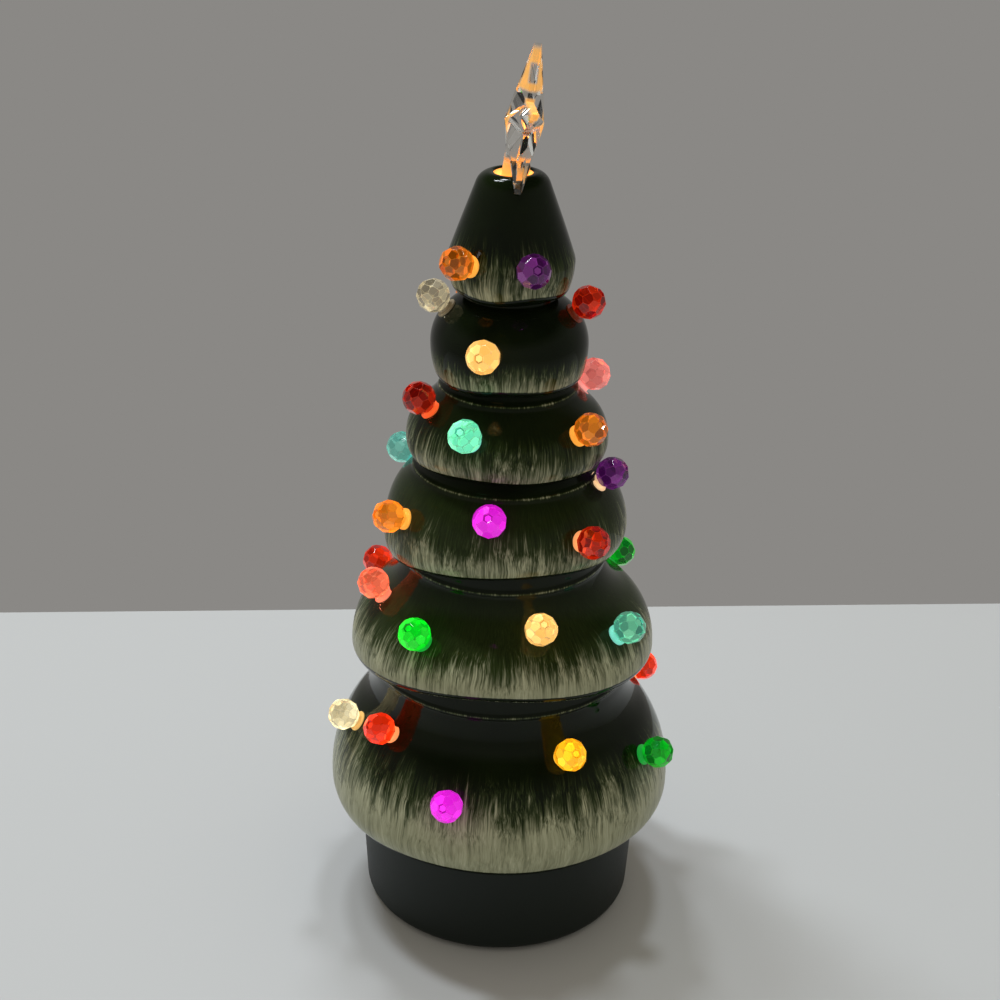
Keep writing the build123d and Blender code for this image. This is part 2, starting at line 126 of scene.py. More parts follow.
def skirtNeck(skirt):
    if skirt == 0:
        return Vector((shell["crownRadius"], shell["foot"] + shell["height"]))
    lip = sectionPoint(shell["skirts"][skirt - 1][2])
    return lip + Vector((-shell["neckInset"], shell["neckRises"][skirt - 1]))


def turned(vector, angle):
    c, s = cos(angle), sin(angle)
    return Vector((vector.x * c - vector.y * s, vector.x * s + vector.y * c))


def arcFrom(start, heading, end):  # the arc that leaves start along heading and reaches end, and its length
    chord = end - start
    swing = atan2(heading.x * chord.y - heading.y * chord.x, heading.dot(chord))
    if abs(swing) < 1e-6:
        return lambda s: (start.lerp(end, s), heading), chord.length
    radius = chord.length / (2 * sin(swing))
    middle = start + Vector((-heading.y, heading.x)) * radius

    def at(s):
        return middle + turned(start - middle, 2 * swing * s), turned(heading, 2 * swing * s)

    return at, abs(2 * radius * swing)


def flankRuns(skirt):  # arcs and lines from the widest point up to the neck
    shoulder, widest = [sectionPoint(s) for s in shell["skirts"][skirt][:2]]
    neck = skirtNeck(skirt)
    up = Vector((0, 1))
    if skirt == 0:
        bend = radians(90 - shell["crownSlope"])
        low = widest + Vector((cos(bend) - 1, sin(bend))) * shell["crownFlank"]
        slant = (shoulder - low).normalized()
        return [arcFrom(widest, up, low), arcFrom(low, slant, shoulder), arcFrom(shoulder, slant, neck)]
    lower = arcFrom(widest, up, shoulder)
    heading = lower[0](1)[1]
    turn = shoulder + (shoulder - widest) * (shoulder.x - neck.x) / (widest.x - shoulder.x)
    if turn.y < neck.y:
        return [lower, arcFrom(shoulder, heading, turn), arcFrom(turn, up, neck)]
    return [lower, arcFrom(shoulder, heading, neck)]


def flankPoint(skirt, share):  # point and upward slope, share of the way up from the widest point
    runs = flankRuns(skirt)
    left = share * sum(length for at, length in runs)
    for at, length in runs:
        if left <= length:
            return at(left / length)
        left -= length
    return runs[-1][0](1)


def flankRows(skirt):  # from the neck down to the widest point
    reach, load, lowered = shell["brushed"][skirt], shell["loads"][skirt], shell["lowered"][skirt]
    length = sum(run for at, run in flankRuns(skirt))
    creaseShare, creaseHalf = 1 - shell["crease"] / length, shell["creaseHalf"] / length
    creased, fine = skirt >= shell["creaseFrom"], shell["creaseSteps"]
    steps = {1 - step / shell["flankSteps"] for step in range(shell["flankSteps"] + 1)}
    if creased:
        steps = {s for s in steps if abs(s - creaseShare) > creaseHalf}
        steps |= {creaseShare + creaseHalf * step / fine for step in range(-fine, fine + 1)}
    rows = []
    for share in sorted(steps, reverse=True):
        point, slope = flankPoint(skirt, share)
        brush = max(0.0, (reach - share) / reach) ** shell["brushCurve"] * lowered * load
        veil = shell["veils"][skirt] * min(1.0, max(0.0, (shell["veilEnd"] - share) / shell["veilFade"]))
        near = max(0.0, 1 - abs(share - creaseShare) / creaseHalf) if creased else 0.0
        if near > 0:
            swell = shell["creaseRise"] * (1 - cos(pi * near)) / 2
            slope = slope.normalized()
            point = point + Vector((slope.y, -slope.x)) * swell
            brush = max(brush, shell["paintedHighlight"] * max(0.0, 3 * near - 2))  # painted highlight on the ring's middle third
        weight = max(0.0, (shell["droopReach"] - share) / shell["droopReach"]) ** 2 * shell["atWidest"]
        rows.append((point.x, point.y, skirt, brush, weight, veil))
    return rows


def lipRows(skirt):  # from the widest point round the lip and back in to the next neck, or to the seat
    load, lowered, atWidest = shell["loads"][skirt], shell["lowered"][skirt], shell["atWidest"]
    widest, lip = [sectionPoint(s) for s in shell["skirts"][skirt][1:]]
    edge = lip + Vector((0, shell["lipRound"]))
    innerLip = lip + Vector((-2 * shell["lipRound"], shell["lipRound"]))
    roll, length = arcFrom(widest, Vector((0, -1)), edge)
    rows = []
    for step in range(1, shell["rollSteps"] + 1):
        share = step / shell["rollSteps"]
        point = roll(share)[0]
        brush = load * (lowered + (shell["fullLoad"] - lowered) * share)
        if (1 - share) * length <= shell["rims"][skirt]:
            # bare rim: dark glaze, with a pale painted highlight line across its middle
            brush = shell["paintedHighlight"] if shell["rimHighlight"][0] < share < shell["rimHighlight"][1] else 0.0
        rows.append((point.x, point.y, skirt, brush, atWidest + (1 - atWidest) * share))
    under = arcFrom(edge, roll(1)[1], innerLip)[0]
    for step in range(1, shell["underSteps"] + 1):
        point = under(step / shell["underSteps"])[0]
        rows.append((point.x, point.y, skirt, 0, 1.0))
    last = skirt == len(shell["skirts"]) - 1
    below = Vector((shell["seatOuter"], shell["seatZ"])) if last else skirtNeck(skirt + 1)
    for step in range(1, shell["returnSteps"]):
        point = innerLip.lerp(below, step / shell["returnSteps"])
        rows.append((point.x, point.y, skirt, 0, 1 - step / shell["returnSteps"]))
    return rows


def shellSection():  # closed section: radius, height, skirt, brush load (on creases and rims also pale painted highlight lines), lip weight and, on the flanks, veil
    crown = shell["foot"] + shell["height"]
    socket = crown - shell["socketDepth"]
    wall, fillet = shell["socketRadius"], shell["socketFillet"]
    mouth = [(wall + out, crown - down) for out, down in shell["socketMouth"]]
    rows = [(r, z, 0, 0, 0) for r, z in
            [(shell["lightBore"], socket), (wall - fillet, socket), (wall, socket + fillet)] + mouth]
    for skirt in range(len(shell["skirts"])):
        rows += flankRows(skirt) + lipRows(skirt)
    thickness = Vector((shell["wall"], 0))
    inner = []
    for skirt, shares in enumerate(shell["skirts"]):
        shoulder, widest = [sectionPoint(s) for s in shares[:2]]
        if skirt > 0:
            inner += [skirtNeck(skirt) - thickness, shoulder - thickness]
        inner.append(widest + Vector((-shell["wall"], shell["innerLift"] * shell["wall"])))
    inside = [(shell["seatOuter"], shell["seatZ"]), (shell["seatInner"], shell["seatZ"]),
              (shell["seatInner"], shell["seatZ"] + shell["seatThickness"])]
    for a, b in zip(inner[::-1], inner[-2::-1]):
        inside += [tuple(a.lerp(b, step / shell["innerSteps"])) for step in range(shell["innerSteps"])]
    inside += [tuple(inner[0]), (shell["lightBore"], socket - shell["socketFloor"])]
    return rows + [(r, z, len(shell["skirts"]) - 1, 0, 0) for r, z in inside]


# Slip-cast earthenware under a near-black green gloss glaze: a stiff brush has dragged a pale sage wash up
# from each lip, which breaks into hairs, strands and locks, and the thick glaze above it mirrors the room
glaze = {
    "deep": "#050904", "green": "#18210f", "thin": "#313d1e", "sage": "#7a7d61", "paleSage": "#babc9e",
    # brush marks: width and length in mm, noise detail, how far each swings the load; real bristles are
    # finer than these hairs, which are drawn as coarse as they need to show
    "strokes": {
        "hair": (0.32, 5.0, 2.5, 0.8), "strand": (0.9, 10.0, 1.5, 0.7), "lock": (3.4, 20.0, 1.0, 0.6),
    },
    "strokeRoughness": 0.6, "patchDetail": 3.0, "patchSwing": 0.5,
    "patch": 16.0, "sway": 11.0, "swayReach": 2.4,  # mm
    "start": 0.15, "film": (0.02, 0.4), "body": (0.24, 0.8), "streak": 0.3,  # loads
    "combing": (2.2, -0.1),  # the veil's hairs: factor and shift
    "gloss": (0.06, 0.3), "ior": 1.5, "specular": 0.16,
    "ripple": 9.0, "rippleRelief": 0.25, "ridgeRelief": 0.08,  # mm
    "rippleStrength": 0.2, "ridgeStrength": 0.1,
}
brushedGlaze = newMaterial("brushedGreenGlaze")
m = brushedGlaze
place = addNode(m, "ShaderNodeTexCoord").outputs["Object"]
apart = addNode(m, "ShaderNodeSeparateXYZ", {0: place})
flat = addNode(m, "ShaderNodeCombineXYZ", {"X": apart.outputs["X"], "Y": apart.outputs["Y"]})
around = addNode(m, "ShaderNodeVectorMath", {0: flat.outputs[0]}, operation="NORMALIZE")
lipRadius = addNode(m, "ShaderNodeAttribute", attribute_name="lipRadius").outputs["Fac"]
arc = addNode(m, "ShaderNodeVectorMath", {0: around.outputs[0], "Scale": lipRadius}, operation="SCALE")
drift = addNode(m, "ShaderNodeTexNoise", {"Vector": place, "Scale": 1000 / glaze["sway"], "Detail": 1.0})
centred = addNode(m, "ShaderNodeVectorMath", {
    0: drift.outputs["Color"], 1: (0.5, 0.5, 0.5)}, operation="SUBTRACT")
sway = addNode(m, "ShaderNodeVectorMath", {
    0: centred.outputs[0], "Scale": glaze["swayReach"] * mm}, operation="SCALE")
swayed = addNode(m, "ShaderNodeVectorMath", {0: arc.outputs[0], 1: sway.outputs[0]}, operation="ADD")
strokes, swings = {}, None
for name, (width, length, detail, reach) in glaze["strokes"].items():
    rise = addNode(m, "ShaderNodeMath", {0: apart.outputs["Z"], 1: width / length}, operation="MULTIPLY")
    lift = addNode(m, "ShaderNodeCombineXYZ", {"Z": rise.outputs[0]})
    along = addNode(m, "ShaderNodeVectorMath", {0: swayed.outputs[0], 1: lift.outputs[0]}, operation="ADD")
    strokes[name] = addNode(m, "ShaderNodeTexNoise", {
        "Vector": along.outputs[0], "Scale": 1000 / width, "Detail": detail,
        "Roughness": glaze["strokeRoughness"]}).outputs["Fac"]
    swing = addNode(m, "ShaderNodeMath", {
        0: strokes[name], 1: reach, 2: -reach / 2}, operation="MULTIPLY_ADD")
    if swings:
        swing = addNode(m, "ShaderNodeMath", {0: swings, 1: swing.outputs[0]}, operation="ADD")
    swings = swing.outputs[0]
mottle = addNode(m, "ShaderNodeTexNoise", {
    "Vector": place, "Scale": 1000 / glaze["patch"], "Detail": glaze["patchDetail"]}).outputs["Fac"]
patchSwing = addNode(m, "ShaderNodeMath", {
    0: mottle, 1: glaze["patchSwing"], 2: -glaze["patchSwing"] / 2}, operation="MULTIPLY_ADD")
uneven = addNode(m, "ShaderNodeMath", {0: swings, 1: patchSwing.outputs[0]}, operation="ADD")
# brush load: the sage wash, and on creases and rims the pale painted highlight lines
brush = addNode(m, "ShaderNodeAttribute", attribute_name="brush").outputs["Fac"]
loaded = addNode(m, "ShaderNodeMath", {0: brush, 1: uneven.outputs[0]}, operation="ADD")
start = addNode(m, "ShaderNodeMapRange", {"Value": brush, "From Min": 0.0, "From Max": glaze["start"]})
film, body = [
    addNode(m, "ShaderNodeMapRange", {
        "Value": loaded.outputs[0], "From Min": low, "From Max": high}, interpolation_type="SMOOTHSTEP")
    for low, high in (glaze["film"], glaze["body"])]
thin = addNode(m, "ShaderNodeMath", {0: film.outputs[0], 1: start.outputs[0]}, operation="MULTIPLY")
covered = addNode(m, "ShaderNodeMath", {0: body.outputs[0], 1: start.outputs[0]}, operation="MULTIPLY")
ground = addNode(m, "ShaderNodeMix", {
    0: mottle, 6: linear(glaze["deep"]), 7: linear(glaze["green"])}, data_type="RGBA")
veil = addNode(m, "ShaderNodeAttribute", attribute_name="veil").outputs["Fac"]
combing = addNode(m, "ShaderNodeMath", {
    0: strokes["hair"], 1: glaze["combing"][0], 2: glaze["combing"][1]}, operation="MULTIPLY_ADD")
veiling = addNode(m, "ShaderNodeMath", {0: veil, 1: combing.outputs[0]}, operation="MULTIPLY")
veiled = addNode(m, "ShaderNodeMix", {
    0: veiling.outputs[0], 6: ground.outputs[2], 7: linear(glaze["thin"])}, data_type="RGBA")
stained = addNode(m, "ShaderNodeMix", {
    0: thin.outputs[0], 6: veiled.outputs[2], 7: linear(glaze["thin"])}, data_type="RGBA")
streak = addNode(m, "ShaderNodeMapRange", {
    "Value": swings, "From Min": -glaze["streak"], "From Max": glaze["streak"]})
wash = addNode(m, "ShaderNodeMix", {
    0: streak.outputs[0], 6: linear(glaze["sage"]), 7: linear(glaze["paleSage"])}, data_type="RGBA")
colour = addNode(m, "ShaderNodeMix", {
    0: covered.outputs[0], 6: stained.outputs[2], 7: wash.outputs[2]}, data_type="RGBA")
gloss = addNode(m, "ShaderNodeMapRange", {
    "Value": covered.outputs[0], "To Min": glaze["gloss"][0], "To Max": glaze["gloss"][1]})
ripple = addNode(m, "ShaderNodeTexNoise", {"Vector": place, "Scale": 1000 / glaze["ripple"], "Detail": 1.0})
swell = addNode(m, "ShaderNodeBump", {
    "Height": ripple.outputs["Fac"], "Strength": glaze["rippleStrength"],
    "Distance": glaze["rippleRelief"] * mm})
ridges = addNode(m, "ShaderNodeBump", {
    "Height": strokes["hair"], "Strength": glaze["ridgeStrength"], "Distance": glaze["ridgeRelief"] * mm,
    "Normal": swell.outputs[0]})
surface = addNode(m, "ShaderNodeBsdfPrincipled", {
    "Base Color": colour.outputs[2], "Roughness": gloss.outputs[0], "IOR": glaze["ior"],
    "Specular IOR Level": glaze["specular"], "Normal": ridges.outputs[0]})
addNode(m, "ShaderNodeOutputMaterial", {"Surface": surface.outputs[0]})

# Bare earthenware in the star's socket, lit from the lamp room below: brightest at the floor
socketGlow = {
    "clay": "#c89060", "light": "#ffb45a", "levels": (6.0, 0.9), "least": 0.3, "roughness": 0.5,
    "heights": (249.6, 254.2), "cloud": 4.0,  # mm
}
lampLight = newMaterial("warmLampLight")
m = lampLight
place = addNode(m, "ShaderNodeTexCoord").outputs["Object"]
cloud = addNode(m, "ShaderNodeTexNoise", {"Vector": place, "Scale": 1000 / socketGlow["cloud"]})
apart = addNode(m, "ShaderNodeSeparateXYZ", {0: place})
low, high = [z * mm for z in socketGlow["heights"]]
rising = addNode(m, "ShaderNodeMapRange", {
    "Value": apart.outputs["Z"], "From Min": low, "From Max": high,
    "To Min": socketGlow["levels"][0], "To Max": socketGlow["levels"][1]})
glow = addNode(m, "ShaderNodeMath", {
    0: rising.outputs[0], 1: cloud.outputs["Fac"], 2: socketGlow["least"]}, operation="MULTIPLY_ADD")
surface = addNode(m, "ShaderNodeBsdfPrincipled", {
    "Base Color": linear(socketGlow["clay"]), "Roughness": socketGlow["roughness"],
    "Emission Color": linear(socketGlow["light"]), "Emission Strength": glow.outputs[0]})
addNode(m, "ShaderNodeOutputMaterial", {"Surface": surface.outputs[0]})


def buildShell():
    rows = shellSection()
    bm = bmesh.new()
    brushLayer = bm.verts.layers.float.new("brush")
    veilLayer = bm.verts.layers.float.new("veil")
    lipLayer = bm.verts.layers.float.new("lipRadius")
    rowLayer = bm.verts.layers.int.new("row")
    ring = []
    for index, row in enumerate(rows):
        ring.append(bm.verts.new((row[0] * mm, 0, row[1] * mm)))
        ring[-1][rowLayer] = index
    edges = [bm.edges.new((a, b)) for a, b in zip(ring, ring[1:] + ring[:1])]
    bmesh.ops.spin(bm, geom=ring + edges, cent=(0, 0, 0), axis=(0, 0, 1), angle=2 * pi, steps=shell["turns"],
                   use_merge=True)
    bmesh.ops.remove_doubles(bm, verts=bm.verts, dist=1e-6)
    bmesh.ops.recalc_face_normals(bm, faces=bm.faces)
    for v in bm.verts:
        skirt, brush, weight, *veil = rows[v[rowLayer]][2:]
        v[brushLayer] = brush
        v[veilLayer] = veil[0] if veil else 0.0
        v[lipLayer] = shell["skirts"][skirt][1][0] * shell["radius"] * mm
        azimuth = atan2(v.co.x, -v.co.y)
        front, side, tilt = shell["droop"][skirt]
        droop = (front + side) / 2 + (front - side) / 2 * cos(2 * azimuth) + tilt * sin(azimuth)
        droop += sum(high * sin(count * azimuth + shift * skirt) for high, count, shift in shell["waves"])
        uneven = shell["wobble"] * weight * (noise.noise(v.co * shell["lumps"]) - shell["inward"])
        r = hypot(v.co.x, v.co.y) / mm
        v.co.z += droop * weight * mm
        v.co.x *= 1 + uneven / max(r, 1)
        v.co.y *= 1 + uneven / max(r, 1)
    socketRows, boreRows = {0, 1, 2, 3}, {0, len(rows) - 1}  # the section's first rows, and where it closes
    for face in bm.faces:
        face.smooth = True
        at = {v[rowLayer] for v in face.verts}
        if at <= socketRows or at <= boreRows:
            face.material_index = 1
    bm.verts.layers.int.remove(rowLayer)
    return newPiece("glazedShell", bm, [brushedGlaze, lampLight], "tree", ["tree_shell"])


glazedShell = buildShell()
print("shell:", len(glazedShell.data.polygons), "faces")

# Push-in bulbs in mm: a cut ball on a lit stem, its collar pushed square into the flank
bulb = {
    "ball": 5.3, "ballRise": 6.7, "facetShare": 0.93, "collar": 3.4, "collarHeight": 1.0,
    "stem": 2.3, "stemLength": 8.0, "core": 2.4, "stemSides": 32, "seatDepth": 0.8, "seatSlack": 0.5,
    "edge": 0.05, "narrow": 0.16, "ring": 0.1, "dimple": 0.5, "dimpleDepth": 0.5,
    # rows of facets: angle from the axis, count, turn
    "facetRows": ((0, 1, 0), (34, 6, 0), (66, 10, 18), (98, 10, 0), (130, 8, 0)),
    "places": (  # azimuth from the front, share of the way up the flank, colour, how brightly lit
        ((-40, 0.05, "orange", 0.25), (15, 0.04, "purple", 0.3),
         (160, 0.06, "green", 0.5), (-160, 0.05, "blue", 0.5)),
        ((-80, 0.65, "clear", 0.1), (-15, 0.20, "warm", 0.5), (77, 0.62, "red", 0.1),
         (155, 0.22, "green", 0.5), (-155, 0.27, "orange", 0.5)),
        ((-66, 0.49, "darkRed", 0.2), (-22, 0.32, "turquoise", 0.65), (47, 0.31, "orange", 0.3),
         (106, 0.60, "pink", 0.3), (158, 0.45, "red", 0.5), (-160, 0.32, "blue", 0.5)),
        ((-123, 0.41, "teal", 0.4), (-57, 0.30, "orange", 0.6), (-7, 0.50, "magenta", 0.32),
         (38, 0.24, "red", 0.15), (70, 0.70, "purple", 0.15), (152, 0.38, "warm", 0.5),
         (-165, 0.50, "green", 0.5)),
        ((-127, 0.13, "red", 0.25), (-75, 0.48, "coral", 0.5), (-35, 0.37, "green", 0.9),
         (16, 0.52, "warm", 0.55), (54, 0.33, "turquoise", 0.3), (130, 0.23, "green", 0.1),
         (175, 0.50, "purple", 0.5)),
        ((-72, 0.48, "clear", 0.55), (-50, 0.59, "red", 0.75), (-16, 0.33, "magenta", 0.4),
         (26, 0.59, "yellow", 0.5), (63, 0.37, "green", 0.22), (120, 0.38, "red", 0.5),
         (164, 0.33, "turquoise", 0.5), (-155, 0.57, "orange", 0.5), (-135, 0.40, "pink", 0.5)),
    ),
    "colours": {  # dimmest and brightest face, lit collar
        "orange": ("#8c4c06", "#ff9c30", "#ffb048"), "purple": ("#3a0a44", "#96409c", "#f8d0a0"),
        "green": ("#085c1c", "#0ce42c", "#1f9a3c"), "blue": ("#182c90", "#4868f0", "#6080f0"),
        "clear": ("#958c78", "#fff2c4", "#d8b068"), "warm": ("#c49450", "#ffe09c", "#f0c878"),
        "red": ("#780c02", "#ff4418", "#ffb070"), "darkRed": ("#740a02", "#e04020", "#f06830"),
        "turquoise": ("#3a8074", "#94f0bc", "#80d8c8"), "pink": ("#b05c58", "#f09488", "#f0a098"),
        "teal": ("#387870", "#88c4b4", "#50b8b0"), "magenta": ("#a814a0", "#f040e6", "#f060f0"),
        "coral": ("#d05c40", "#ff8c68", "#f89070"), "yellow": ("#d07c10", "#fce030", "#ffc848"),
    },
    "slots": {"darkRed": "bulb_dark_red"},
    "unlitCollars": ("tier1_bulb_2", "tier2_bulb_1", "tier2_bulb_3"), "unlit": 0.1,
    "swirl": 2.5, "collarSwirl": 3.0, "edgeShine": 1.5,  # size of the clouding in the plastic, and of the patches in the painted edge highlights, mm
    "ior": 1.55, "facetGlow": (0.3, 0.6), "clear": 0.95, "swirlDetail": 2.0, "haze": 0.06,
    # how a face's share of the light differs from its neighbours', and the front face's gain
    "facetSpread": 0.7, "facetStep": 0.618, "facetMean": 0.33, "frontLift": 0.35,
    "collarGlow": (0.42, 0.78), "collarRoughness": 0.2,
    "edgeGlow": 0.4, "edgeClear": 0.5, "edgeRoughness": 0.15,
}


# Injection-moulded clear-tinted styrene, cut in facets: light from the stem fills the ball, each face
# catches its own share, and the edges between faces carry pale, glowing painted highlight lines
def bulbMaterials(name, bodyHex, brightHex, collarHex):
    body = newMaterial("tintedStyrene_" + name)
    facet = addNode(body, "ShaderNodeAttribute", attribute_name="facet").outputs["Fac"]
    glow = addNode(body, "ShaderNodeMapRange", {
        "Value": facet, "To Min": bulb["facetGlow"][0], "To Max": bulb["facetGlow"][1]})
    place = addNode(body, "ShaderNodeTexCoord").outputs["Object"]
    swirl = addNode(body, "ShaderNodeTexNoise", {
        "Vector": place, "Scale": 1000 / bulb["swirl"], "Detail": bulb["swirlDetail"]})
    haze = addNode(body, "ShaderNodeMapRange", {
        "Value": swirl.outputs["Fac"], "To Min": 0.0, "To Max": bulb["haze"]})
    caught = addNode(body, "ShaderNodeMix", {
        0: facet, 6: linear(bodyHex), 7: linear(brightHex)}, data_type="RGBA")
    surface = addNode(body, "ShaderNodeBsdfPrincipled", {
        "Base Color": caught.outputs[2], "Roughness": haze.outputs[0], "IOR": bulb["ior"],
        "Transmission Weight": bulb["clear"],
        "Emission Color": caught.outputs[2], "Emission Strength": glow.outputs[0]})
    addNode(body, "ShaderNodeOutputMaterial", {"Surface": surface.outputs[0]})
    collar = newMaterial("litStem_" + name)
    place = addNode(collar, "ShaderNodeTexCoord").outputs["Object"]
    swirl = addNode(collar, "ShaderNodeTexNoise", {"Vector": place, "Scale": 1000 / bulb["collarSwirl"]})
    cloud = addNode(collar, "ShaderNodeMapRange", {
        "Value": swirl.outputs["Fac"], "To Min": bulb["collarGlow"][0], "To Max": bulb["collarGlow"][1]})
    facet = addNode(collar, "ShaderNodeAttribute", attribute_name="facet").outputs["Fac"]
    glow = addNode(collar, "ShaderNodeMath", {0: cloud.outputs[0], 1: facet}, operation="MULTIPLY")
    warm = addNode(collar, "ShaderNodeMix", {
        0: facet, 6: linear(bodyHex), 7: linear(collarHex)}, data_type="RGBA")
    surface = addNode(collar, "ShaderNodeBsdfPrincipled", {
        "Base Color": warm.outputs[2], "Roughness": bulb["collarRoughness"],
        "Emission Color": warm.outputs[2], "Emission Strength": glow.outputs[0]})
    addNode(collar, "ShaderNodeOutputMaterial", {"Surface": surface.outputs[0]})
    # edges between faces: a pale, glowing painted highlight, patchy along its length
    edge = newMaterial("paintedEdgeHighlight_" + name)
    place = addNode(edge, "ShaderNodeTexCoord").outputs["Object"]
    edgeShineCloud = addNode(edge, "ShaderNodeTexNoise", {"Vector": place, "Scale": 1000 / bulb["edgeShine"]})
    pale = addNode(edge, "ShaderNodeMix", {
        0: edgeShineCloud.outputs["Fac"], 6: linear(bodyHex), 7: linear(brightHex)}, data_type="RGBA")
    surface = addNode(edge, "ShaderNodeBsdfPrincipled", {
        "Base Color": pale.outputs[2], "Roughness": bulb["edgeRoughness"], "IOR": bulb["ior"],
        "Transmission Weight": bulb["edgeClear"], "Emission Color": pale.outputs[2],
        "Emission Strength": bulb["edgeGlow"]})
    addNode(edge, "ShaderNodeOutputMaterial", {"Surface": surface.outputs[0]})
    return body, collar, edge


def buildBulb(seat, lit, collarLit):
    bm = bmesh.new()
    facetLayer = bm.faces.layers.float.new("facet")
    bmesh.ops.create_icosphere(bm, subdivisions=3, radius=bulb["ball"] * mm)
    facetReach = bulb["ball"] * bulb["facetShare"] * mm
    for latitude, count, turn in bulb["facetRows"]:
        for index in range(count):
            way, tilt = radians(turn + 360 * index / count), radians(latitude)
            normal = Vector((sin(tilt) * cos(way), sin(tilt) * sin(way), cos(tilt)))
            cut = bmesh.ops.bisect_plane(
                bm, geom=bm.verts[:] + bm.edges[:] + bm.faces[:], plane_co=normal * facetReach,
                plane_no=normal, clear_outer=True)
            rim = [g for g in cut["geom_cut"] if isinstance(g, bmesh.types.BMEdge)]
            if rim:
                bmesh.ops.contextual_create(bm, geom=rim)
    bmesh.ops.dissolve_limit(bm, angle_limit=radians(1), verts=bm.verts, edges=bm.edges)
    bmesh.ops.bevel(bm, geom=bm.edges[:], offset=bulb["edge"] * mm, segments=1, profile=0.5,
                    affect="EDGES", material=-1)
    for face in bm.faces:
        if face.calc_area() < bulb["narrow"] * mm * face.calc_perimeter():  # narrow faces along the edges: painted highlight lines
            face.material_index = 2
    front = max(bm.faces, key=lambda f: f.calc_center_median().z)
    bmesh.ops.inset_region(bm, faces=[front], thickness=bulb["ring"] * mm, depth=0)
    dimple = bmesh.ops.inset_region(
        bm, faces=[front], thickness=bulb["dimple"] * mm, depth=-bulb["dimpleDepth"] * mm)
    for index, face in enumerate(bm.faces):
        share = (index * bulb["facetStep"] % 1) ** 2 - bulb["facetMean"]
        face[facetLayer] = min(1.0, max(0.0, lit + bulb["facetSpread"] * share))
    # painted shade in the dimple: its faces take no share of the light
    for face in dimple["faces"]:
        face[facetLayer] = 0.0
    front[facetLayer] = min(1.0, lit + bulb["frontLift"])
    bmesh.ops.translate(bm, vec=(0, 0, bulb["ballRise"] * mm), verts=bm.verts)
    ballFaces = set(bm.faces)
    for radius, low, high in (
            (bulb["collar"], 0, bulb["collarHeight"]), (bulb["stem"], -bulb["stemLength"], bulb["core"])):
        bmesh.ops.create_cone(
            bm, cap_ends=True, segments=bulb["stemSides"], radius1=radius * mm, radius2=radius * mm,
            depth=(high - low) * mm, matrix=Matrix.Translation((0, 0, (high + low) / 2 * mm)))
    for face in bm.faces:
        if face not in ballFaces:
            face.material_index = 1
            face[facetLayer] = collarLit
    bmesh.ops.transform(bm, matrix=seat, verts=bm.verts)
    return bm


def bulbSeat(skirt, azimuth, share):
    point, slope = flankPoint(skirt, share)
    slope.normalize()
    out = Vector((sin(radians(azimuth)), -cos(radians(azimuth)), 0))
    axis = (out * slope.y - Vector((0, 0, slope.x))).normalized()
    origin = (out * point.x + Vector((0, 0, point.y)) - axis * bulb["seatDepth"]) * mm
    return Matrix.Translation(origin) @ axis.to_track_quat("Z", "Y").to_matrix().to_4x4()


bulbFinish = {name: bulbMaterials(name, *hexes) for name, hexes in bulb["colours"].items()}
for skirt, places in enumerate(bulb["places"]):
    for number, (azimuth, share, colourName, lit) in enumerate(places, start=1):
        node = "tier%d_bulb_%d" % (skirt + 1, number)
        collarLit = bulb["unlit"] if node in bulb["unlitCollars"] else 1.0
        shape = buildBulb(bulbSeat(skirt, azimuth, share), lit, collarLit)
        piece = newPiece("cutBulb_%d_%d" % (skirt + 1, number), shape, bulbFinish[colourName], "tree", [node])
        low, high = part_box(node)
        own = [piece.matrix_world @ Vector(c) for c in piece.bound_box]
        gap = max(abs((low + high)[i] / 2 - (own[0] + own[6])[i] / 2) for i in range(3))
        if gap > bulb["seatSlack"] * mm:
            print("bulb off its seat", node, round(gap / mm, 2))
print("bulbs placed")

# Plain finishes of the carried-over nodes: two tones, least and most roughness, metallic, and the size and
# relief of the grain in mm
finishes = {
    # moulded ABS, dark and satin; its fine spark texture is drawn as coarse as it needs to show
    "satinCharcoalAbs": ("#0c1510", "#18211c", 0.45, 0.58, 0.0, 0.7, 0.03),
    "zincPlatedSteel": ("#9a9a96", "#b4b4b0", 0.28, 0.42, 1.0, 1.5, 0.01),  # bright zinc, a little uneven
    "mattRubber": ("#141414", "#1e1e1e", 0.75, 0.9, 0.0, 0.8, 0.03),  # pressed rubber, dull and pitted
    "paintedCellJacket": ("#1c2a4c", "#243360", 0.3, 0.4, 0.2, 6.0, 0.001),  # lacquered sleeve, softly shining
    "nickelSpring": ("#a8a69c", "#c2c0b6", 0.2, 0.35, 1.0, 2.0, 0.01),  # nickel on spring steel, bright
    "blackSwitchNylon": ("#0c0c0c", "#161616", 0.4, 0.5, 0.0, 1.0, 0.01),  # moulded nylon, half dull
    "greenSolderResist": ("#0e4422", "#125230", 0.3, 0.4, 0.0, 4.0, 0.01),  # resist on laminate, an even shine
    "redPvcSleeve": ("#8a0c0c", "#a01212", 0.35, 0.45, 0.0, 3.0, 0.01),  # extruded PVC, smooth and half glossy
    "blackPvcSleeve": ("#0e0e0e", "#181818", 0.35, 0.45, 0.0, 3.0, 0.01),  # the same in black
}
grained = {"detail": 4.0, "bump": 0.5, "specular": 0.3}
finished = {}
